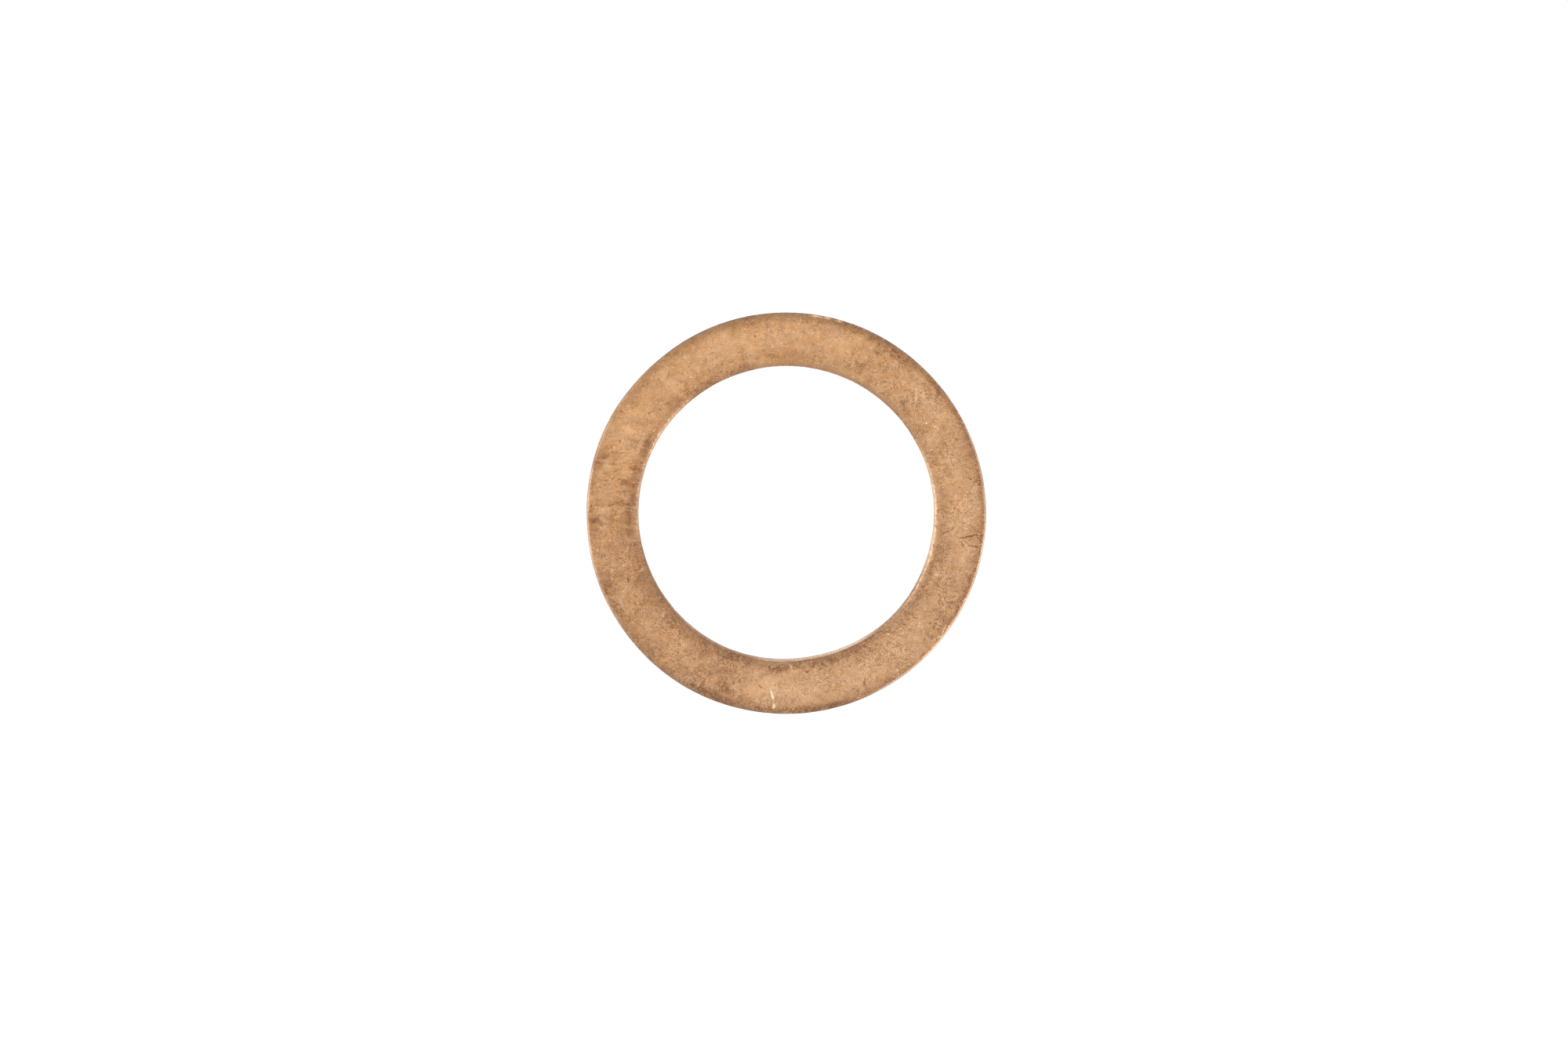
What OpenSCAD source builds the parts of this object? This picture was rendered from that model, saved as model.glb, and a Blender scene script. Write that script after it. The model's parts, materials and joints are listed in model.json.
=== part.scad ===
// Flat copper crush washer for an M16 screw plug.
// The ring is blanked from soft copper strip in one stroke, so both walls carry the marks of that cut, from the
// top down: a die roll where the strip was drawn in, a straight burnished land, a fracture zone that leans into
// the metal, and a lower edge that tumbling has rounded. The two flat faces between the edges do the sealing.
// The bore axis is Z, and the lower face lies on Z = 0.

/* [Ring] */
// Diameter of the bore at its burnished land
bore_d = 16.2; // [8.2:0.1:18.2]
// Outside diameter at its burnished land
outside_d = 21.9; // [19.9:0.1:31.9]
// Thickness between the two sealing faces
thickness = 1.5; // [1:0.1:3]

/* [Die roll] */
// How far the roll reaches in from the wall over the upper face
roll_w = 0.6; // [0.3:0.05:0.9]
// How far the roll has dropped below the upper face where it meets the wall
roll_drop = 0.13; // [0.05:0.01:0.2]
// Radius of the corner between the roll and the wall
roll_corner_r = 0.18; // [0.05:0.01:0.25]

/* [Fracture zone] */
// Height of the fracture zone above the lower face
break_h = 0.55; // [0.3:0.05:0.9]
// How far the fracture zone leans into the metal at the lower face
break_lean = 0.04; // [0.01:0.01:0.1]
// Radius that tumbling leaves on the lower edge
lower_edge_r = 0.12; // [0.05:0.01:0.25]

/* [Hidden] */
$fn = 180;
copper = [0.78, 0.59, 0.44];
over = 0.1; // how far a cutting shape reaches past the blank
proud = 0.0005; // how far a rounded corner stands out of the face that it runs into, so that the two cross
half_w = (outside_d - bore_d) / 4;
mid_r = bore_d / 2 + half_w;

// The roll is an arc that leaves the upper face smoothly and ends at the wall, roll_drop lower
roll_r = (roll_w ^ 2 + roll_drop ^ 2) / (2 * roll_drop);
roll_centre = [half_w - roll_w, thickness - roll_r];

// The corner's arc runs from the roll into the wall
corner_run = roll_w - roll_corner_r;
corner_rise = sqrt((roll_r - roll_corner_r) ^ 2 - corner_run ^ 2) + proud;
corner_centre = roll_centre + [corner_run, corner_rise];
corner_from = atan2(corner_rise, corner_run);

// The lower edge's arc runs from the leaning wall into the lower face
break_angle = atan2(break_lean, break_h);
lower_edge_inset = lower_edge_r * (1 / cos(break_angle) - tan(break_angle)) - proud;
lower_edge_centre = [half_w - break_lean - lower_edge_inset, lower_edge_r];

function direction(angle) = [cos(angle), sin(angle)];

// What lies outside an arc of radius r about centre, between two angles
module outside_arc(centre, r, from, to) {
    reach = 2 * r + over;
    translate(centre)
        difference() {
            polygon([
                [0, 0],
                reach * direction(from),
                reach * direction((from + to) / 2),
                reach * direction(to)
            ]);
            circle(r);
        }
}

module die_roll_cut() {
    difference() {
        translate([roll_centre.x, thickness - roll_drop])
            square([roll_w + over, roll_drop + over]);
        translate(roll_centre) circle(roll_r);
    }
}

module fracture_cut() {
    polygon([
        [half_w, break_h],
        [half_w - break_lean, 0],
        [half_w - break_lean, -over],
        [half_w + over, -over],
        [half_w + over, break_h]
    ]);
}

// Half of the ring's section, from its middle at x = 0 out to one wall
module half_section() {
    difference() {
        square([half_w, thickness]);
        die_roll_cut();
        outside_arc(corner_centre, roll_corner_r, 0, corner_from);
        fracture_cut();
        outside_arc(lower_edge_centre, lower_edge_r, -90, -break_angle);
    }
}

module copper_washer() {
    color(copper)
        rotate_extrude()
            translate([mid_r, 0]) {
                half_section();
                mirror([1, 0]) half_section();
            }
}

copper_washer();
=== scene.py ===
import json
import math

import bpy
import numpy as np
from mathutils import Matrix, Vector, noise


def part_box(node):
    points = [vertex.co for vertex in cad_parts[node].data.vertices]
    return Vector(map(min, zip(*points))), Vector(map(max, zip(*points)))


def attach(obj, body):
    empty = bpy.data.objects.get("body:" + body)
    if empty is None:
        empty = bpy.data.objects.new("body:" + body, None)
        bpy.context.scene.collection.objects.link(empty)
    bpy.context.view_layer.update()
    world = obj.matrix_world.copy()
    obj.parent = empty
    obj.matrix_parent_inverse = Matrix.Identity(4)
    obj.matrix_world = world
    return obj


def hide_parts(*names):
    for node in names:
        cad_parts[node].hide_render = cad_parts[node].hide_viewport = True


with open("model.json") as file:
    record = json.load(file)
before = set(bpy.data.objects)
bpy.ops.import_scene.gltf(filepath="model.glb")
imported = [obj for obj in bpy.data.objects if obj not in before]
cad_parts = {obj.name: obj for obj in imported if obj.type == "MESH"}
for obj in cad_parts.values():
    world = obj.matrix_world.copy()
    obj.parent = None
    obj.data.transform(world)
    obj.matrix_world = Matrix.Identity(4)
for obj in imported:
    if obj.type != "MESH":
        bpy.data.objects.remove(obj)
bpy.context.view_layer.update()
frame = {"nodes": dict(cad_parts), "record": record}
mm = 0.001  # the frame is in metres, the washer's own sizes below are in millimetres
print("frame loaded:", ", ".join(frame["nodes"]))


# Washer: bore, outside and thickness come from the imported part, the blanked edge is set here
washer = {
    "rollWidth": 0.60,  # die roll, in from each wall
    "rollDrop": 0.13,  # how far the roll has fallen by the wall
    "rollCorner": 0.18,  # corner between the roll and the wall
    "tearHeight": 0.55,  # fracture zone above the lower face
    "tearLean": 0.04,  # how far the fracture leans into the metal
    "lowerEdge": 0.12,  # lower edge, rounded by tumbling
    "stepsRound": 960,  # divides by three, because the ring is unwrapped in thirds
    "steps": {"flat": 18, "roll": 11, "corner": 6, "land": 5, "tear": 5, "foot": 3, "under": 3},
    "outOfRound": 0.034,  # left and right, the outside falls short of its circle by twice this
    "waviness": 0.008,  # slow wander of both walls
    "boreSwell": 0.059,  # the soft wall of the bore is pressed in that far
    "boreBumps": [  # middle and width in degrees, how far out of the metal
        (283, 20, 0.060), (240, 18, -0.030), (320, 16, -0.040),
    ],
    "outsideBumps": [  # in the same way
        (22, 12, -0.022), (45, 18, -0.036), (135, 16, -0.042), (150, 12, 0.030), (200, 12, 0.015),
        (183, 12, -0.020), (240, 14, 0.022),
    ],
    "rollWander": 0.022,  # the roll falls more in some places than in others
    "peen": 0.007,  # fine relief that tumbling leaves
    "tearWander": 0.13,  # the fracture starts higher in some places than in others
    "tearWanderReach": 0.4,  # how far above and below its start that is felt
    "tearRelief": 0.0096,  # torn grain of the fracture zone
    "landRelief": 0.002,  # drawn lines of the burnished land
    "fineShare": 0.6,  # how much of the torn grain and of its start is fine
    "slopes": {  # how steep the metal stands where each starts and where it is full
        "rim": (0.17, 0.47), "edge": (0.30, 0.55), "wall": (0.75, 1.0),
    },
    "seed": 16,

    # Noise that shapes the metal, as (size in millimetres, where in the noise it starts, stretch)
    "wanders": {
        "peen": (0.34, 3.1, (1, 1, 1)),
        "roll": (1.4, 7.7, (1, 1, 1)),
        "torn": (0.16, 11.3, (1, 1, 1)),
        "tornFine": (0.1, 5.9, (1, 1, 0.35)),
        "drawn": (0.13, 2.2, (1, 1, 0.06)),
        "wave": (0.35, 1.3, (1, 1, 0)),  # on a ring of radius 1
        "tearLine": (0.9, 4.4, (1, 1, 0)),
        "tearLineFine": (0.28, 8.8, (1, 1, 0)),
    },

    # Knocks from the tumbling drum, as (how many, smallest and largest size, smallest and largest depth)
    "knocks": {
        "flat": (60, (0.07, 0.18), (0.002, 0.005)),
        "corner": (70, (0.06, 0.14), (0.003, 0.010)),
        "under": (60, (0.05, 0.16), (0.004, 0.010)),
        "foot": (50, (0.08, 0.18), (0.004, 0.014)),
    },
    "knockSlimness": (1.0, 4.0),  # knocks are longer than wide
    "knockBareness": {"corner": 0.16},  # how clean they leave the metal

    # Flecks that the other rings in the drum leave on the upper face
    "flecks": {
        "dark": (250, (0.35, 0.80)),  # how many, faintest and strongest
        "light": (160, (0.16, 0.38)),
        "length": (0.06, 0.19), "width": (0.030, 0.048),
        "depth": 0.004,
        "fromEdge": 0.25,  # they keep this far from the walls
    },

    # Marks on the upper face, in millimetres from the axis: x to the right, y up as the camera sees it
    "marks": {
        "scoredLines": [  # how dark, then the points along it
            (0.7, [(9.30, -1.32), (9.77, -1.23)]),
            (0.75, [(9.77, -1.23), (10.33, -1.12), (10.75, -1.13)]),
            (0.3, [(9.80, -1.22), (10.35, -1.12)]),
            (0.75, [(9.77, -1.48), (9.92, -1.69), (10.20, -1.73), (10.42, -1.72)]),
            (0.5, [(10.46, -1.62), (10.55, -1.42)]),
            (0.5, [(9.44, -1.49), (9.61, -1.66)]),
            (0.4, [(9.50, -0.80), (9.67, -0.88)]),
            (0.5, [(9.86, 2.09), (10.16, 1.79)]),
            (0.6, [(4.50, -8.56), (4.37, -8.64), (4.28, -8.99), (4.24, -9.29)]),
            (0.4, [(-1.02, 10.28), (-1.02, 9.94)]),
            (0.4, [(-9.67, 0.45), (-8.85, 0.76)]),
        ],
        "scoredWidth": 0.058,
        "scoredDepth": 0.014,
        "brightScratches": [  # how bright, how wide, then the points along it
            (0.46, 0.085, [(7.03, 6.82), (7.02, 6.22)]),
            (0.16, 0.080, [(7.02, 6.22), (6.93, 5.75)]),
            (0.24, 0.080, [(6.83, 6.88), (6.83, 6.75)]),
            (0.44, 0.085, [(7.48, 6.62), (7.40, 6.56), (7.40, 6.46), (7.46, 6.36)]),
            (0.28, 0.060, [(-0.80, -9.72), (-0.72, -10.02), (-0.70, -10.30), (-0.67, -10.50)]),
            (0.80, 0.090, [(-0.83, -9.67), (-0.80, -9.77)]),
            (0.95, 0.110, [(-0.76, -9.90), (-0.73, -10.03)]),
            (1.00, 0.130, [(-0.66, -10.44), (-0.68, -10.55)]),
            (0.30, 0.060, [(-0.86, -9.50), (-0.83, -9.62)]),
            (0.30, 0.070, [(-1.08, -9.12), (-1.06, -9.24)]),
            (0.42, 0.110, [(0.22, -8.25), (0.26, -8.36)]),
            (0.22, 0.060, [(0.26, -8.36), (0.33, -8.54)]),
        ],
        "brightDepth": 0.010,
        "brightSpots": [  # x, y, size, how bright
            (7.60, 4.97, 0.085, 0.85), (8.03, 5.52, 0.075, 0.50), (7.91, 6.88, 0.070, 0.35),
            (8.05, 6.60, 0.070, 0.40), (1.84, 10.27, 0.070, 0.55), (5.58, -7.64, 0.075, 0.65),
            (8.23, -4.22, 0.075, 0.35), (9.89, -0.47, 0.065, 0.50), (-10.09, -0.69, 0.070, 0.45),
            (-3.71, -9.49, 0.070, 0.50), (-7.26, 7.39, 0.065, 0.50), (0.92, -8.67, 0.070, 0.40),
            (-2.16, 9.32, 0.075, 0.45), (1.54, -9.59, 0.070, 0.45), (4.07, -8.82, 0.070, 0.45),
            (9.58, 5.00, 0.085, 0.75), (-6.37, 5.14, 0.130, 0.40), (-6.91, 4.37, 0.120, 0.40),
            (-5.36, 6.18, 0.120, 0.34),
        ],
        "stainsAndShade": [  # x, y, long size, short size, heading in degrees, how dark; below zero it is lighter. The small ones are stains; those 2 mm and longer are painted shade, and painted light below zero
            (8.65, -0.97, 0.22, 0.07, 30, 0.9), (8.60, -2.20, 0.60, 0.40, 60, 0.5),
            (-9.94, 3.01, 0.42, 0.26, 25, 1.0), (-8.89, 0.63, 0.50, 0.16, 0, 0.8),
            (-7.85, 3.95, 0.55, 0.16, -20, 0.6), (-8.36, 2.50, 0.16, 0.10, 0, 0.7),
            (-8.80, 1.68, 0.55, 0.10, 6, 0.5), (-8.90, 1.90, 0.50, 0.09, 8, 0.5),
            (-9.80, 1.85, 0.15, 0.10, 0, 0.6), (-10.48, -0.36, 0.18, 0.14, 0, 0.6),
            (-8.59, -0.96, 0.12, 0.10, 0, 0.5), (-0.78, 8.57, 0.28, 0.13, 0, 0.5),
            (-5.93, -5.79, 0.14, 0.11, 0, 0.6), (-3.06, -7.87, 0.60, 0.26, -20, 0.7),
            (-0.52, -8.47, 0.75, 0.22, 0, 0.7), (2.20, -8.21, 1.30, 0.22, 13, 0.6),
            (-5.70, -6.10, 1.30, 0.30, -45, 0.5), (5.91, 8.82, 0.90, 0.26, -56, 0.6),
            (8.05, 7.02, 0.36, 0.18, -50, 0.75), (9.35, 5.30, 0.45, 0.16, -60, 0.6),
            (9.82, 4.06, 0.30, 0.16, -68, 0.5), (8.39, 6.21, 0.06, 0.05, 0, 0.7),
            (7.78, 5.69, 0.06, 0.05, 0, 0.7), (-3.53, 9.25, 0.07, 0.06, 0, 0.8),
            (-6.37, 6.10, 0.12, 0.24, 0, 0.5), (10.55, 1.00, 0.14, 0.36, 0, 0.6),
            (-9.60, -3.60, 0.80, 0.40, 70, 0.5), (-4.30, -9.10, 0.90, 0.50, -20, 0.3),
            (8.20, -5.60, 1.10, 0.45, 55, 0.25), (-10.08, 0.22, 0.42, 0.17, 12, -1.0),
            (-9.70, 4.60, 0.60, 0.35, 60, -0.5), (-2.30, 9.60, 1.60, 0.55, 10, -0.5),
            (2.95, 9.30, 1.20, 0.50, -18, -0.5), (-1.20, -9.50, 0.80, 0.45, 0, -0.6),
            (9.60, 0.80, 0.40, 1.20, 0, -0.15), (4.50, -8.60, 1.40, 0.45, 28, -0.3),
            # the patches 2 mm and longer from here on are painted shade, and painted light below zero
            (-10.25, -1.48, 0.34, 0.10, 0, -0.5), (-9.00, -3.20, 6.00, 3.00, 110, 0.5),
            (8.10, 4.60, 2.40, 1.40, 120, 0.2), (4.70, 8.20, 2.40, 1.40, 150, 0.40),
            (-4.20, -8.50, 2.40, 1.40, 154, 0.55), (8.20, -4.70, 2.00, 1.40, 60, 0.3),
            (9.30, 1.90, 2.30, 1.30, 102, -0.32), (0.60, -9.50, 2.20, 1.20, 0, -0.2),
            (6.75, 8.32, 0.45, 0.18, -48, 0.55), (7.30, 7.89, 0.26, 0.13, -48, 0.45),
            (8.97, 5.69, 0.25, 0.14, -60, 0.6), (8.32, 6.66, 0.16, 0.10, -50, 0.5),
            (-3.30, -9.30, 0.55, 0.30, -10, 0.35), (-2.40, -8.90, 1.60, 0.45, -15, 0.35),
            (-8.16, 3.66, 0.26, 0.10, -30, 0.7), (-8.30, 4.02, 0.22, 0.06, -15, 0.6),
            (-8.55, 4.60, 0.60, 0.22, -10, -0.6), (-8.05, 5.05, 0.35, 0.14, -20, 0.45),
        ],
        "edgeBands": [  # darker along an edge, partly tarnish and partly painted shade of the rolled edge: from and to in degrees, outer edge or not, width, how dark
            (16, 31, True, 0.30, 0.4), (36, 60, True, 0.40, 0.1), (58, 78, True, 0.28, 0.15),
            (338, 374, True, 0.36, 0.75), (102, 140, False, 0.38, 0.6), (148, 182, False, 0.58, 0.70),
            (252, 272, False, 0.52, 0.15), (268, 312, False, 0.40, 0.6), (240, 290, True, 0.42, 0.55),
            (272, 316, True, 0.32, 0.5), (326, 343, True, 0.36, 0.8), (318, 356, False, 0.45, 0.25),
            (28, 116, False, 0.40, -0.35), (150, 173, True, 0.30, 0.35),
        ],
        "edgeSoftness": 0.15,  # over which an edge band ends
        "streaks": [  # where the face is rubbed one way: x, y, long size, short size, heading in degrees
            (-9.00, 2.30, 1.40, 2.40, 0),
        ],
        "chips": [  # broken out of the outer corner: from and to in degrees, depth below the upper face
            (73.5, 76.1, 0.22), (76.9, 79.5, 0.21), (79.4, 83.4, 0.27),
        ],
        # how pale the break is: bare metal with a painted highlight
        "chipPaleAndLit": 0.65,
        "paleRims": [  # roll paler, partly rubbed clean by the wall and partly painted highlight where the side soft boxes light it: from and to in degrees, outer or not, how pale
            (257, 271, False, 0.30), (306, 326, False, 0.25), (324, 346, False, 0.55),
            (344, 370, False, 0.55), (368, 386, False, 0.4), (130, 170, False, 0.25),
            (168, 188, False, 0.35),
        ],
        "paleCorners": [  # corner paler, partly rubbed clean and partly painted highlight where the side soft boxes light it, in the same way
            (140, 166, True, 0.1), (166, 192, True, 0.5), (190, 214, True, 0.3), (296, 352, True, 0.7),
            (350, 386, True, 0.55),
        ],
        "grimyWalls": [  # painted shade: wall greyer and darker, in the same way
            (48, 128, True, 0.75), (225, 292, True, 0.5),
        ],
        "cleanWalls": [  # wall paler, partly clean of tarnish and partly painted highlight and reflection of the floor and soft boxes, in the same way
            (260, 284, False, 0.5), (284, 304, False, 0.9), (340, 386, False, 0.8),
            (138, 186, False, 0.6),
        ],
        "cleanTear": 0.5,  # how much of that the fracture zone below it shows
        "fades": {  # degrees over which each starts and ends
            "edgeBands": 4, "chips": 0.4, "paleRims": 5, "paleCorners": 5,
            "grimyWalls": 30, "cleanWalls": 10,
        },
        "finerSteps": 3.2,  # how much closer the steps lie beside the lines and scratches
        "finerReach": 0.05,  # how far to each side, in radians
    },
}

low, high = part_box("copper_washer")
boreMount = next(m for m in frame["record"]["mounts"] if m["name"] == "bore")
boreRadius = boreMount["dims"]["r_mm"]
outsideRadius = high.x / mm
thickness = (high.z - low.z) / mm
midRadius = (boreRadius + outsideRadius) / 2
halfWidth = (outsideRadius - boreRadius) / 2
faceFrom = thickness - 2 * washer["rollDrop"]  # what lies above this height belongs to the upper face
dice = np.random.default_rng(washer["seed"])


def straight(start, end, steps):
    t = np.linspace(0, 1, steps, endpoint=False)[:, None]
    return np.array(start) + t * (np.array(end) - np.array(start))


def arc(centre, radius, fromAngle, toAngle, steps):
    a = np.linspace(fromAngle, toAngle, steps, endpoint=False)
    return np.array(centre) + radius * np.column_stack((np.cos(a), np.sin(a)))


def halfSection():
    # from the middle of the upper face over one wall to the middle of the lower face
    w = washer
    rollRadius = (w["rollWidth"] ** 2 + w["rollDrop"] ** 2) / (2 * w["rollDrop"])
    rollStart = halfWidth - w["rollWidth"]
    rollCentre = (rollStart, thickness - rollRadius)
    run = w["rollWidth"] - w["rollCorner"]
    rise = math.sqrt((rollRadius - w["rollCorner"]) ** 2 - run ** 2)
    cornerCentre = (rollStart + run, rollCentre[1] + rise)
    meet = math.atan2(rise, run)
    lean = math.atan2(w["tearLean"], w["tearHeight"])
    inset = w["lowerEdge"] * (1 / math.cos(lean) - math.tan(lean))
    footCentre = (halfWidth - w["tearLean"] - inset, w["lowerEdge"])
    footTop = arc(footCentre, w["lowerEdge"], -lean, 0, 1)[0]
    steps = w["steps"]
    stretches = {
        "flat": straight((0, thickness), (rollStart, thickness), steps["flat"]),
        "roll": arc(rollCentre, rollRadius, math.pi / 2, meet, steps["roll"]),
        "corner": arc(cornerCentre, w["rollCorner"], meet, 0, steps["corner"]),
        "land": straight((halfWidth, cornerCentre[1]), (halfWidth, w["tearHeight"]), steps["land"]),
        "tear": straight((halfWidth, w["tearHeight"]), footTop, steps["tear"]),
        "foot": arc(footCentre, w["lowerEdge"], -lean, -math.pi / 2, steps["foot"]),
        "under": straight((footCentre[0], 0), (0, 0), steps["under"]),
    }
    points = np.concatenate(list(stretches.values()))
    zones = np.concatenate([[name] * len(part) for name, part in stretches.items()])
    return points, zones


def fullSection():
    # once round the section, with the direction out of the metal and the zone of each point
    outer, zones = halfSection()
    inner = np.concatenate((outer[1:], [(0, 0)]))[::-1] * (-1, 1)
    innerZones = np.concatenate((zones[1:], ["under"]))[::-1]
    loop = np.concatenate((outer, inner))
    along = np.roll(loop, -1, 0) - np.roll(loop, 1, 0)
    out = np.column_stack((-along[:, 1], along[:, 0]))
    out /= np.linalg.norm(out, axis=1)[:, None]
    return loop, out, np.concatenate((zones, innerZones))


def anglesRound():
    # steps lie closer together where the lines and scratches are
    marks = washer["marks"]
    perDegree = 20
    fine = np.linspace(0, 2 * math.pi, 360 * perDegree, endpoint=False)
    density = np.ones_like(fine)
    for *_, stroke in marks["scoredLines"] + marks["brightScratches"]:
        x, y = np.mean(stroke, axis=0)
        off = np.angle(np.exp(1j * (fine - math.atan2(y, x))))
        beside = np.exp(-(off / marks["finerReach"]) ** 2)
        density = np.maximum(density, 1 + (marks["finerSteps"] - 1) * beside)
    total = np.concatenate(([0], np.cumsum(density)))
    wanted = np.linspace(0, total[-1], washer["stepsRound"], endpoint=False)
    return np.interp(wanted, total, np.append(fine, 2 * math.pi))


def wander(points, name):
    size, start, stretch = washer["wanders"][name]
    return np.array([noise.noise(Vector(p) / size + Vector((start, 0, 0))) for p in points * stretch])


def toStroke(places, stroke):
    # shortest way in the plane from each place to a line of points
    best = np.full(len(places), np.inf)
    for a, b in zip(np.array(stroke[:-1]), np.array(stroke[1:])):
        t = np.clip(((places - a) @ (b - a)) / ((b - a) @ (b - a)), 0, 1)
        best = np.minimum(best, np.linalg.norm(places - a - t[:, None] * (b - a), axis=1))
    return best


def patch(places, x, y, longSize, shortSize, heading):
    a = math.radians(heading)
    dx, dy = places[:, 0] - x, places[:, 1] - y
    u = (dx * math.cos(a) + dy * math.sin(a)) / longSize
    v = (dy * math.cos(a) - dx * math.sin(a)) / shortSize
    return np.exp(-(u * u + v * v))


def washerShape():
    w = washer
    marks, flecks = w["marks"], w["flecks"]
    loop, out, zone = fullSection()
    angle = anglesRound()
    sectionSteps, roundSteps = len(loop), len(angle)
    zones = np.tile(zone, roundSteps)
    theta = np.repeat(angle, sectionSteps)
    radius = np.tile(midRadius + loop[:, 0], roundSteps)
    height = np.tile(loop[:, 1], roundSteps)
    outR, outZ = np.tile(out[:, 0], roundSteps), np.tile(out[:, 1], roundSteps)
    places = np.column_stack((radius * np.cos(theta), radius * np.sin(theta), height))
    plane = places[:, :2]
    top = height > faceFrom
    rolled = np.isin(zones, ("roll", "corner"))
    intoRoll = np.clip((np.abs(radius - midRadius) - halfWidth + w["rollWidth"]) / w["rollWidth"], 0, 1)

    def steep(name):
        least, full = w["slopes"][name]
        return np.clip((np.abs(outR) - least) / (full - least), 0, 1)

    def turnFrom(middle):
        return np.degrees(np.abs(np.angle(np.exp(1j * (theta - math.radians(middle))))))

    def along(start, end, outer, fade):
        # 1 between two angles on one side of the ring
        inside = np.clip(((end - start) / 2 - turnFrom((start + end) / 2)) / fade + 0.5, 0, 1)
        return inside * ((radius > midRadius) == outer)

    # relief is below zero where it goes into the metal
    relief = -w["peen"] * (0.5 + wander(places, "peen"))
    relief -= rolled * intoRoll ** 2 * w["rollWander"] * (0.5 + wander(places, "roll"))
    torn = wander(places, "torn") + w["fineShare"] * wander(places, "tornFine")
    relief -= (zones == "tear") * w["tearRelief"] * (1 + torn)
    relief -= (zones == "land") * w["landRelief"] * (1 + wander(places, "drawn"))

    bare, score, stainAndShade, streak, paleAndLit, clean, paintedWallShade = np.zeros((7, len(places)))
    for name, (count, sizes, depths) in w["knocks"].items():
        spots = np.flatnonzero(zones == name)
        for spot in dice.choice(spots, count, replace=False):
            size, depth = dice.uniform(*sizes), dice.uniform(*depths)
            heading = dice.uniform(0, 2 * math.pi)
            across = np.array((math.cos(heading), math.sin(heading), 0))
            away = places - places[spot]
            away += np.outer(away @ across, across) * dice.uniform(*w["knockSlimness"])
            hit = np.exp(-((np.linalg.norm(away, axis=1) / size) ** 2))
            relief -= depth * hit
            bare += w["knockBareness"].get(name, 0) * hit

    # lines, scratches and spots are cut here and get their colour in the material
    for strength, stroke in marks["scoredLines"]:
        line = top * np.exp(-((toStroke(plane, stroke) / marks["scoredWidth"]) ** 2))
        relief -= marks["scoredDepth"] * strength * line
    for strength, width, stroke in marks["brightScratches"]:
        line = top * np.exp(-((toStroke(plane, stroke) / width) ** 2))
        relief -= marks["brightDepth"] * strength * line
    for x, y, size, strength in marks["brightSpots"]:
        relief -= marks["brightDepth"] * strength * top * patch(plane, x, y, size, size, 0)

    reach = halfWidth - flecks["fromEdge"]
    for name, mask in (("dark", score), ("light", bare)):
        count, strengths = flecks[name]
        for _ in range(count):
            at = dice.uniform(0, 2 * math.pi)
            away = midRadius + dice.uniform(-reach, reach)
            sizes = dice.uniform(*flecks["length"]), dice.uniform(*flecks["width"])
            heading = dice.uniform(0, 180)
            fleck = top * patch(plane, away * math.cos(at), away * math.sin(at), *sizes, heading)
            relief -= flecks["depth"] * fleck
            mask += dice.uniform(*strengths) * fleck

    # tarnish, clean places, painted shade and painted highlight
    fades = marks["fades"]
    # edge bands: partly tarnish, partly painted shade of the rolled edge
    for start, end, outer, width, strength in marks["edgeBands"]:
        fromEdge = outsideRadius - radius if outer else radius - boreRadius
        beside = np.clip((width - fromEdge) / marks["edgeSoftness"] + 0.5, 0, 1)
        stainAndShade += strength * top * along(start, end, outer, fades["edgeBands"]) * beside
    # stains, and painted shade and light in the large patches
    for x, y, longSize, shortSize, heading, strength in marks["stainsAndShade"]:
        stainAndShade += strength * top * patch(plane, x, y, longSize, shortSize, heading)
    for x, y, longSize, shortSize, heading in marks["streaks"]:
        streak += top * patch(plane, x, y, longSize, shortSize, heading)
    wall = np.isin(zones, ("corner", "land")) * steep("wall")
    tear = np.isin(zones, ("tear", "foot")).astype(float)
    # paler rims, corners and walls: painted highlight and reflection, partly rubbed clean; shaded walls:
    # painted shade
    for name, mask, surface in (
        ("paleRims", paleAndLit, rolled * steep("rim")),
        ("paleCorners", clean, rolled * steep("edge")),
        ("cleanWalls", clean, np.maximum(wall, marks["cleanTear"] * tear)),
        ("grimyWalls", paintedWallShade, wall),
    ):
        for start, end, outer, strength in marks[name]:
            mask += strength * surface * along(start, end, outer, fades[name])

    # the walls wander, the bore is pressed in and the fracture starts unevenly
    side = np.where(radius < midRadius, -1, 1)
    ring = np.column_stack((np.cos(theta), np.sin(theta), np.zeros_like(theta)))
    wave = w["waviness"] * (wander(ring, "wave") - 0.5)
    wave += np.where(side < 0, w["boreSwell"], -w["outOfRound"] * (1 + np.cos(2 * theta)))
    for bumps, wallSide in ((w["boreBumps"], -1), (w["outsideBumps"], 1)):
        for middle, width, size in bumps:
            wave += (side == wallSide) * size * np.exp(-((turnFrom(middle) / width) ** 2))
    relief = np.minimum(relief, 0)
    radius = radius + outR * relief + side * intoRoll * wave
    tornLine = wander(places, "tearLine") + w["fineShare"] * wander(places, "tearLineFine")
    nearTear = np.clip(1 - np.abs(height - w["tearHeight"]) / w["tearWanderReach"], 0, 1)
    nearTear = nearTear * np.isin(zones, ("land", "tear"))
    height = np.clip(height + outZ * relief + w["tearWander"] * nearTear * tornLine, 0, thickness)

    turn = np.degrees(theta)
    for start, end, depth in marks["chips"]:
        broken = np.clip(np.minimum(turn - start, end - turn) / fades["chips"], 0, 1)
        broken = broken * (zones == "corner") * (outR > 0)
        height -= broken * np.maximum(height - thickness + depth, 0)
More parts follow.
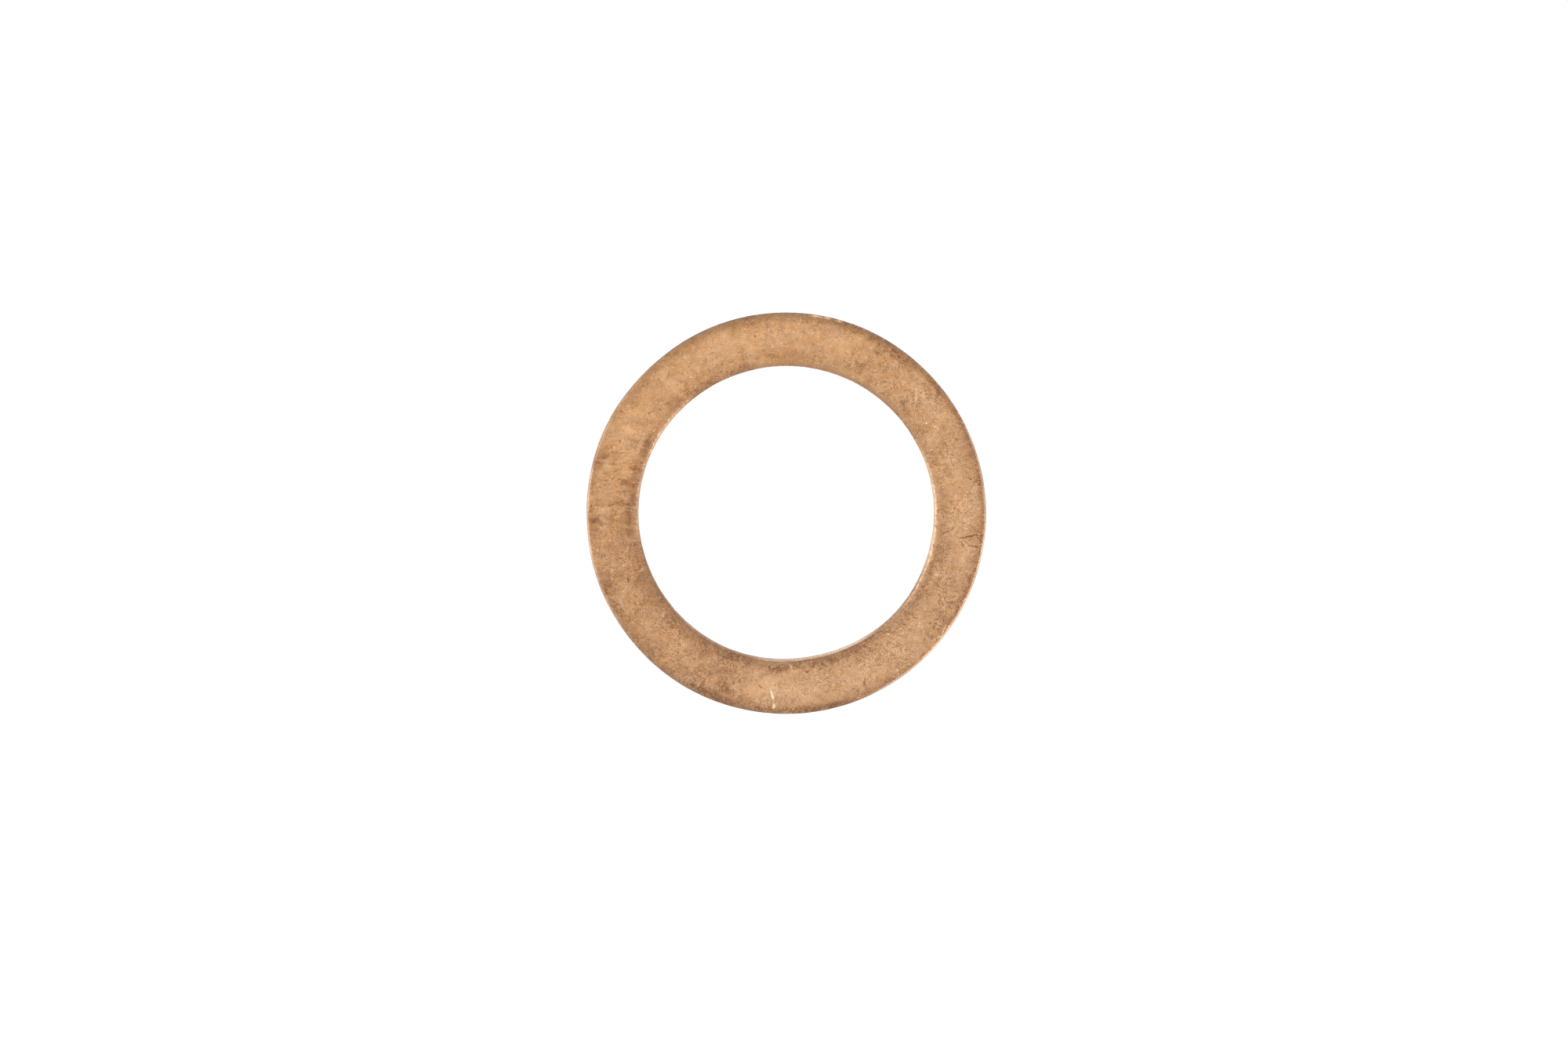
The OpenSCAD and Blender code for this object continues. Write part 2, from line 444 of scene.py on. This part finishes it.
        # the break is paler: bare metal with a painted highlight
        paleAndLit += marks["chipPaleAndLit"] * broken
    places = np.column_stack((radius * np.cos(theta), radius * np.sin(theta), height))
    masks = {
        "bare": np.clip(bare, 0, 1),
        "score": np.clip(score, 0, 1),
        "stainAndShade": np.clip(stainAndShade, -1, 1),
        "streak": np.clip(streak, 0, 1),
        "corner": (zones == "corner").astype(float),
        "paleAndLit": np.clip(paleAndLit, 0, 1),
        "clean": np.clip(clean, 0, 1),
        # painted shade on the outer walls
        "paintedWallShade": np.clip(paintedWallShade, 0, 1),
        "wall": wall,
        "tear": tear,
    }
    return places * mm, masks, roundSteps, sectionSteps, loop


def unwrap(mesh, roundSteps, sectionSteps, loop):
    # three thirds of the ring, one above the other, each laid out flat
    strips, margin = 3, 0.01
    lengths = np.linalg.norm(np.roll(loop, -1, 0) - loop, axis=1)
    along = np.concatenate(([0], np.cumsum(lengths))) / lengths.sum()
    third = roundSteps // strips
    i, j = np.divmod(np.arange(roundSteps * sectionSteps), sectionSteps)
    row, step = np.divmod(i, third)
    u = np.column_stack((step, step, step + 1, step + 1)) / third
    v = along[np.column_stack((j, j + 1, j + 1, j))]
    u = margin + (1 - 2 * margin) * u
    v = (row[:, None] + margin + (1 - 2 * margin) * v) / strips
    layer = mesh.uv_layers.new(name="OFBake")
    layer.data.foreach_set("uv", np.stack((u, v), axis=2).astype(np.float32).ravel())


def makeWasher(material):
    places, masks, roundSteps, sectionSteps, loop = washerShape()
    i, j = np.divmod(np.arange(roundSteps * sectionSteps), sectionSteps)
    nextI, nextJ = (i + 1) % roundSteps, (j + 1) % sectionSteps
    faces = np.column_stack((i * sectionSteps + j, i * sectionSteps + nextJ,
                             nextI * sectionSteps + nextJ, nextI * sectionSteps + j))
    mesh = bpy.data.meshes.new("copperWasher")
    mesh.from_pydata(places.tolist(), [], faces.tolist())
    for name, values in masks.items():
        mesh.attributes.new(name, "FLOAT", "POINT").data.foreach_set("value", values.astype(np.float32))
    unwrap(mesh, roundSteps, sectionSteps, loop)
    mesh.shade_smooth()
    mesh.materials.append(material)
    piece = bpy.data.objects.new("copper_ring", mesh)
    bpy.context.scene.collection.objects.link(piece)
    print("washer made:", 2 * len(faces), "triangles")
    return piece


# Copper: tones as they look under plain white light, from the darkest tarnish to bare metal
copper = {
    "tones": [
        (0.00, (148, 105, 76)),
        (0.25, (178, 133, 96)),
        (0.50, (200, 154, 112)),
        (0.75, (217, 171, 128)),
        (1.00, (231, 187, 145)),
    ],
    "middleTone": 0.58,
    "bareTone": (255, 232, 198),
    # paler rims: rubbed metal with a painted highlight
    "rubbedAndLitRimTone": (244, 207, 168),
    # paler walls and corners: clean metal with a painted highlight and reflection
    "cleanAndLitWallTone": (242, 214, 184),
    # torn fracture zone, also the painted shade on the walls and at the foot
    "tornAndShadeTone": (112, 93, 82),
    "clouds": {  # noise over the metal: size in millimetres, fineness, and where in the noise it starts
        "blotch": {"size": 2.2, "detail": 2, "roughness": 0.5, "distortion": 0.6},
        "mottle": {"size": 0.52, "detail": 4, "roughness": 0.70, "distortion": 0.5},
        "grain": {"size": 0.065, "detail": 1, "roughness": 0.5},
        "calm": {"size": 1.3, "detail": 2, "roughness": 0.5, "start": (3.9, 21.4, 6.2)},
        "strand": {"size": 0.09, "detail": 1, "roughness": 0.5, "stretch": (0.40, 1, 1)},
        "strandPatch": {"size": 0.9, "detail": 1, "roughness": 0.5},
        "streak": {"size": 0.15, "detail": 3, "roughness": 0.6, "stretch": (0.30, 1, 1)},
        "wisp": {"size": 0.13, "detail": 3, "roughness": 0.55, "distortion": 1.2,
                 "start": (7.3, 2.9, 5.1)},
        "wispGap": {"size": 0.21, "detail": 1, "roughness": 0.5, "start": (31.0, 8.3, 2.7)},
        "pit": {"size": 0.20, "detail": 2, "roughness": 0.5, "start": (41.3, 17.9, 8.6)},
        "glint": {"size": 0.11, "detail": 2, "roughness": 0.5, "start": (13.7, 52.1, 3.3)},
        "wallLine": {"size": 0.07, "detail": 2, "roughness": 0.6, "stretch": (1, 1, 0.05)},
        "crumb": {"size": 0.10, "detail": 3, "roughness": 0.65, "start": (5.5, 9.1, 31.7)},
        "hue": {"size": 0.60, "detail": 2, "roughness": 0.5, "start": (27.1, 4.4, 9.5)},
        "lump": {"size": 0.20, "detail": 2, "roughness": 0.5, "start": (61.2, 3.4, 12.8)},
    },
    "ranges": {  # from and to in what is read, then what they become where that isn't 0 and 1
        "calm": (-0.14, 0.14, 0.5, 1.3),  # the grain is finer in some places than in others
        "strandPatch": (-0.10, 0.10),
        "wisp": (0.06, 0.0),
        "wispFade": (-0.10, 0.10, 1.0, 0.4),
        "wispGap": (0.0, 0.10),
        "edge": (0.25, 1.25),  # darker towards both edges: painted shade of the rolled edges, partly tarnish; in millimetres from the middle of the face
        "pit": (0.13, 0.24),
        "glint": (0.12, 0.25),
        "bareRuffle": (-0.2, 0.2, 0.75, 1.25),
        "bare": (0.10, 0.65),
        "scoreRuffle": (-0.2, 0.2, 0.5, 1.5),
        "score": (0.12, 0.85),
        "stainRuffle": (-0.15, 0.15, 1.15, 0.85),
        "rimHue": (1.05, 1.40),  # both rims are paler, in millimetres from the middle of the face
        "rimGrey": (1.12, 1.36),  # and the outer one is greyer
        "hue": (-1.7, 1.3),
        "paleLump": (-0.14, 0.14, 0.45, 1.25),  # the paler rims, rubbed and with painted highlight, come in lumps
        "cleanLine": (-0.15, 0.15, 0.7, 1.0),
        "roughness": (0.1, 0.9, 0.58, 0.36),  # from full tarnish to bare metal
        "cornerBump": (0.0, 1.0, 1.0, 0.35),
    },
    "depths": {  # how much each lightens the tone
        "blotch": 0.38, "mottle": 0.66, "grain": 0.84, "strand": 0.50, "streak": 1.0, "wisp": 0.14,
        "edge": -0.15, "stainAndShade": -0.27, "wall": -0.20, "wallLine": 0.55, "crumb": 0.50,
        "score": -0.50, "pit": -0.16, "glint": 0.42,
    },
    "bumps": {  # how much each stands out
        "grain": 1.0, "strand": 1.0, "mottle": 1.2, "pit": -0.5, "wallLine": 1.5, "crumb": 4.0,
    },
    "bumpHeight": 0.012,
    "strandHeadings": (25, 80, 140),  # degrees, fine rubbed lines that lie in these directions
    "coarseTowards": 325.0, "coarseMore": 0.36,  # the grain is coarser towards the lower right
    "edgeRagged": 0.95, "edgeBlotch": 0.35,  # how ragged the darkening towards the edges ends (painted shade, partly tarnish), and its share of blotches
    "scratchRagged": 0.06,  # lines and scratches have torn edges
    "paleTowards": 298.0,  # the metal is a little redder on the upper left and paler on the lower right
    "hueDrift": 0.88, "hueDepth": 6.0, "rimHue": 1.2,
    "warmTint": (1.0, 0.955, 0.875), "paleTint": (1.0, 1.042, 1.125), "greyTint": (1.0, 1.06, 1.20),
    # the fracture zone greyer, with painted shade at the foot
    "tearGreyAndShade": 0.60,
    "rubbedPolish": 0.4,  # the paler rims and walls, rubbed and with painted highlight, are that much smoother
    "cornerPolish": 0.02,  # and so are the corners
}


def screenColour(rgb):
    c = np.array(rgb) / 255
    linear = np.where(c <= 0.04045, c / 12.92, ((c + 0.055) / 1.055) ** 2.4)
    return (*linear.tolist(), 1.0)


def addNode(tree, kind, inputs=None, **settings):
    node = tree.nodes.new(kind)
    for name, value in settings.items():
        setattr(node, name, value)
    for name, value in (inputs or {}).items():
        socket = node.inputs[name]
        if isinstance(value, bpy.types.NodeSocket):
            tree.links.new(value, socket)
        else:
            socket.default_value = value
    return node


def copperMaterial():
    c = copper
    marks = washer["marks"]
    material = bpy.data.materials.new("tumbledCopper")
    material.use_nodes = True
    tree = material.node_tree
    tree.nodes.clear()

    def calc(operation, a, b=0.0, c=0.0):
        return addNode(tree, "ShaderNodeMath", {0: a, 1: b, 2: c}, operation=operation).outputs[0]

    def vector(operation, a, b):
        return addNode(tree, "ShaderNodeVectorMath", {0: a, 1: b}, operation=operation).outputs["Vector"]

    def scaled(a, factor):
        inputs = {0: a, 3: factor}
        return addNode(tree, "ShaderNodeVectorMath", inputs, operation="SCALE").outputs["Vector"]

    def measure(operation, a, b=(0, 0, 0)):
        return addNode(tree, "ShaderNodeVectorMath", {0: a, 1: b}, operation=operation).outputs["Value"]

    def ranged(value, low, high, toLow=0.0, toHigh=1.0):
        inputs = {"Value": value, "From Min": low, "From Max": high, "To Min": toLow, "To Max": toHigh}
        return addNode(tree, "ShaderNodeMapRange", inputs, interpolation_type="SMOOTHSTEP").outputs[0]

    def within(name, value):
        return ranged(value, *c["ranges"][name])

    def mask(name):
        return addNode(tree, "ShaderNodeAttribute", attribute_name=name).outputs["Fac"]

    def mixed(amount, a, b, blend="MIX"):
        inputs = {0: amount, 6: a, 7: b}
        return addNode(tree, "ShaderNodeMix", inputs, data_type="RGBA", blend_type=blend).outputs[2]

    def layered(start, layers, shares):
        for name, layer in layers.items():
            start = calc("MULTIPLY_ADD", layer, shares[name], start)
        return start

    def cloud(name, at=None):
        # noise around zero
        look = c["clouds"][name]
        at = place if at is None else at
        if "start" in look:
            at = vector("ADD", at, look["start"])
        if "stretch" in look:
            at = vector("MULTIPLY", at, look["stretch"])
        inputs = {"Vector": at, "Scale": 1 / look["size"], "Detail": look["detail"],
                  "Roughness": look["roughness"], "Distortion": look.get("distortion", 0.0)}
        return calc("SUBTRACT", addNode(tree, "ShaderNodeTexNoise", inputs).outputs[0], 0.5)

    def towards(heading):
        # from -1 to 1 across the washer
        a = math.radians(heading)
        axis = (math.cos(a) / outsideRadius, math.sin(a) / outsideRadius, 0)
        return measure("DOT_PRODUCT", place, axis)

    def strands(heading):
        inputs = {"Vector": vector("ADD", place, (heading, 0, 0)), "Angle": math.radians(heading)}
        turned = addNode(tree, "ShaderNodeVectorRotate", inputs, rotation_type="Z_AXIS").outputs[0]
        here = within("strandPatch", cloud("strandPatch", vector("ADD", place, (0, heading, 0))))
        return calc("MULTIPLY", cloud("strand", turned), here)

    def onMark(away, width):
        # 1 on a mark and 0 beyond its width, with a torn edge
        return ranged(calc("MULTIPLY_ADD", ruffle, c["scratchRagged"], away), width, 0.0)

    def onLine(points, width):
        away = outsideRadius
        for a, b in zip(points, points[1:]):
            start, run = Vector((*a, 0)), Vector((*b, 0)) - Vector((*a, 0))
            off = vector("SUBTRACT", flat, start)
            share = measure("DOT_PRODUCT", off, run / run.length_squared)
            share = addNode(tree, "ShaderNodeClamp", {"Value": share}).outputs[0]
            away = calc("MINIMUM", away, measure("DISTANCE", off, scaled(run, share)))
        return onMark(away, width)

    place = scaled(addNode(tree, "ShaderNodeTexCoord").outputs["Object"], 1 / mm)
    flat = vector("MULTIPLY", place, (1, 1, 0))
    outwards = calc("SUBTRACT", measure("LENGTH", flat), midRadius)
    fromMiddle = calc("ABSOLUTE", outwards)
    level = addNode(tree, "ShaderNodeSeparateXYZ", {0: place}).outputs["Z"]
    upper = ranged(level, faceFrom, thickness - washer["rollDrop"])

    # patterns of the metal
    blotch, mottle = cloud("blotch"), cloud("mottle")
    coarse = calc("MULTIPLY_ADD", towards(c["coarseTowards"]), c["coarseMore"], 1.0)
    calm = calc("MULTIPLY", within("calm", cloud("calm")), coarse)
    grain = calc("MULTIPLY", cloud("grain"), calm)
    rubbed = 0.0
    for heading in c["strandHeadings"]:
        rubbed = calc("ADD", rubbed, strands(heading))
    rubbed = calc("MULTIPLY", rubbed, calm)
    ruffle = calc("ADD", rubbed, mottle)
    wisps = calc("MULTIPLY", within("wisp", calc("ABSOLUTE", cloud("wisp"))), within("wispFade", blotch))
    wisps = calc("MULTIPLY", wisps, within("wispGap", cloud("wispGap")))
    ragged = calc("MULTIPLY", calc("MULTIPLY_ADD", blotch, c["edgeBlotch"], mottle), c["edgeRagged"])
    pits = within("pit", cloud("pit"))
    lines = calc("MULTIPLY", cloud("wallLine"), mask("wall"))
    crumbs = calc("MULTIPLY", cloud("crumb"), mask("tear"))

    # marks from the mesh and from their own points
    scratched = 0.0
    for strength, width, points in marks["brightScratches"]:
        scratched = calc("MULTIPLY_ADD", onLine(points, width), strength, scratched)
    for x, y, size, strength in marks["brightSpots"]:
        spot = onMark(measure("DISTANCE", flat, (x, y, 0)), size)
        scratched = calc("MULTIPLY_ADD", spot, strength, scratched)
    bare = within("bare", calc("MULTIPLY", within("bareRuffle", ruffle), mask("bare")))
    bare = calc("MAXIMUM", bare, calc("MULTIPLY", scratched, upper))
    scored = 0.0
    for strength, points in marks["scoredLines"]:
        scored = calc("MULTIPLY_ADD", onLine(points, marks["scoredWidth"]), strength, scored)
    score = within("score", calc("MULTIPLY", within("scoreRuffle", ruffle), mask("score")))
    score = calc("MAXIMUM", score, calc("MULTIPLY", scored, upper))

    layers = {
        "blotch": blotch,
        "mottle": mottle,
        "grain": grain,
        "strand": rubbed,
        "streak": calc("MULTIPLY", cloud("streak"), mask("streak")),
        "wisp": wisps,
        # painted shade towards both edges, partly tarnish
        "edge": within("edge", calc("SUBTRACT", fromMiddle, ragged)),
        # stains, with painted shade and light along the edges and in the large patches
        "stainAndShade": calc("MULTIPLY", mask("stainAndShade"), within("stainRuffle", ruffle)),
        # walls darker: painted shade, partly tarnish
        "wall": mask("wall"),
        "wallLine": lines,
        "crumb": crumbs,
        "score": score,
        "pit": pits,
        # painted glints: small bright flecks
        "glint": within("glint", cloud("glint")),
    }
    tone = layered(c["middleTone"], layers, c["depths"])
    ramp = addNode(tree, "ShaderNodeValToRGB", {0: tone})
    stops = ramp.color_ramp.elements
    while len(stops) < len(c["tones"]):
        stops.new(0.5)
    for stop, (at, rgb) in zip(stops, c["tones"]):
        stop.position, stop.color = at, screenColour(rgb)

    hue = calc("MULTIPLY_ADD", towards(c["paleTowards"]), c["hueDrift"], mask("corner"))
    hue = calc("MULTIPLY_ADD", cloud("hue"), c["hueDepth"], hue)
    hue = calc("MULTIPLY_ADD", within("rimHue", fromMiddle), c["rimHue"], hue)
    tint = mixed(within("hue", hue), (*c["warmTint"], 1), (*c["paleTint"], 1))
    tint = mixed(within("rimGrey", outwards), tint, (*c["greyTint"], 1))
    colour = mixed(1.0, ramp.outputs[0], tint, "MULTIPLY")
    # painted shade on the shaded walls, and the fracture zone greyer with painted shade at its foot
    greyAndShade = calc("MULTIPLY_ADD", mask("tear"), c["tearGreyAndShade"], mask("paintedWallShade"))
    colour = mixed(greyAndShade, colour, screenColour(c["tornAndShadeTone"]))
    paleAndLit = calc("MULTIPLY", mask("paleAndLit"), within("paleLump", cloud("lump")))
    clean = calc("MULTIPLY", mask("clean"), within("cleanLine", lines))
    # painted highlight and reflection on the paler rims, corners and walls, over partly rubbed clean
    # metal
    colour = mixed(paleAndLit, colour, screenColour(c["rubbedAndLitRimTone"]))
    colour = mixed(clean, colour, screenColour(c["cleanAndLitWallTone"]))
    colour = mixed(bare, colour, screenColour(c["bareTone"]))

    smooth = calc("MULTIPLY_ADD", calc("MAXIMUM", paleAndLit, clean), c["rubbedPolish"], tone)
    rough = calc("MULTIPLY_ADD", mask("corner"), -c["cornerPolish"], within("roughness", smooth))
    relief = layered(0.0, {name: layers[name] for name in c["bumps"]}, c["bumps"])
    relief = calc("MULTIPLY", relief, within("cornerBump", mask("corner")))
    bump = addNode(tree, "ShaderNodeBump", {"Height": relief, "Strength": 1.0,
                                            "Distance": c["bumpHeight"] * mm})
    shader = addNode(tree, "ShaderNodeBsdfPrincipled", {"Base Color": colour, "Metallic": 1.0,
                                                        "Roughness": rough, "Normal": bump.outputs[0]})
    addNode(tree, "ShaderNodeOutputMaterial", {"Surface": shader.outputs[0]})
    print("copper mixed:", len(tree.nodes), "nodes")
    return material


ringPiece = makeWasher(copperMaterial())
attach(ringPiece, "root")
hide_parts("copper_washer")


# Studio: lit white floor, white surround, and soft boxes left, right and overhead
studio = {
    "floorSize": 3.0, "floorWhite": 1.05,
    "floorDrop": 0.00001,  # just below the lower face, in metres
    "surround": 0.61,  # as it lights the metal
    "backdrop": 1.1,  # as the camera sees it
    "overhead": {"size": (0.78, 0.78), "place": (0.0, -0.05, 0.85), "power": 1.18},
    "left": {"size": (0.60, 0.45), "place": (-0.52, 0.00, 0.22), "power": 1.15},
    "right": {"size": (0.45, 0.45), "place": (0.455, -0.245, 0.22), "power": 1.05},
}


def makeFloor():
    bpy.ops.mesh.primitive_plane_add(size=studio["floorSize"], location=(0, 0, -studio["floorDrop"]))
    floor = bpy.context.object
    floor.name = "paleFloor"
    material = bpy.data.materials.new("paleFloor")
    material.use_nodes = True
    tree = material.node_tree
    tree.nodes.clear()
    glow = addNode(tree, "ShaderNodeEmission", {"Color": (1, 1, 1, 1), "Strength": studio["floorWhite"]})
    addNode(tree, "ShaderNodeOutputMaterial", {"Surface": glow.outputs[0]})
    floor.data.materials.append(material)


def makeSoftBox(name):
    box = studio[name]
    light = bpy.data.lights.new(name + "SoftBox", "AREA")
    light.shape = "RECTANGLE"
    light.size, light.size_y = box["size"]
    light.energy = box["power"]
    lamp = bpy.data.objects.new(name + "SoftBox", light)
    lamp.location = box["place"]
    lamp.rotation_euler = Vector(box["place"]).to_track_quat("Z", "Y").to_euler()
    lamp.visible_camera = False
    bpy.context.scene.collection.objects.link(lamp)


def makeSurround():
    world = bpy.data.worlds.new("studio")
    bpy.context.scene.world = world
    world.use_nodes = True
    tree = world.node_tree
    tree.nodes.clear()
    ray = addNode(tree, "ShaderNodeLightPath").outputs["Is Camera Ray"]
    soft = addNode(tree, "ShaderNodeBackground", {"Color": (1, 1, 1, 1), "Strength": studio["surround"]})
    white = addNode(tree, "ShaderNodeBackground", {"Color": (1, 1, 1, 1), "Strength": studio["backdrop"]})
    both = addNode(tree, "ShaderNodeMixShader", {0: ray, 1: soft.outputs[0], 2: white.outputs[0]})
    addNode(tree, "ShaderNodeOutputWorld", {"Surface": both.outputs[0]})


makeFloor()
makeSurround()
for boxName in ("overhead", "left", "right"):
    makeSoftBox(boxName)
print("studio lit")


# Camera: nearly straight down, leaning towards the top of the picture
shot = {
    "distance": 0.18,  # metres from the upper face
    "lean": 4.75, "leanTowards": 95.0,  # degrees; 90 is the top of the picture
    "frameWidth": 85.15,  # millimetres of the upper face that the picture is wide
    "aim": (-0.127, -0.455),  # what lies at the picture's middle, in millimetres from the axis
    "sensorWidth": 36,
}


def makeCamera():
    data = bpy.data.cameras.new("overheadCamera")
    data.sensor_width = shot["sensorWidth"]
    data.lens = data.sensor_width * shot["distance"] / (shot["frameWidth"] * mm)
    camera = bpy.data.objects.new("overheadCamera", data)
    lean, towards = math.radians(shot["lean"]), math.radians(shot["leanTowards"])
    sideways = math.sin(lean)
    back = Vector((sideways * math.cos(towards), sideways * math.sin(towards), math.cos(lean)))
    up = (Vector((0, 1, 0)) - back * back.y).normalized()
    aim = Vector((*shot["aim"], thickness)) * mm
    turn = Matrix((up.cross(back), up, back)).transposed()
    camera.matrix_world = Matrix.Translation(aim + back * shot["distance"]) @ turn.to_4x4()
    bpy.context.scene.collection.objects.link(camera)
    bpy.context.scene.camera = camera


makeCamera()
bpy.context.scene.view_settings.view_transform = "Standard"
print("camera set")
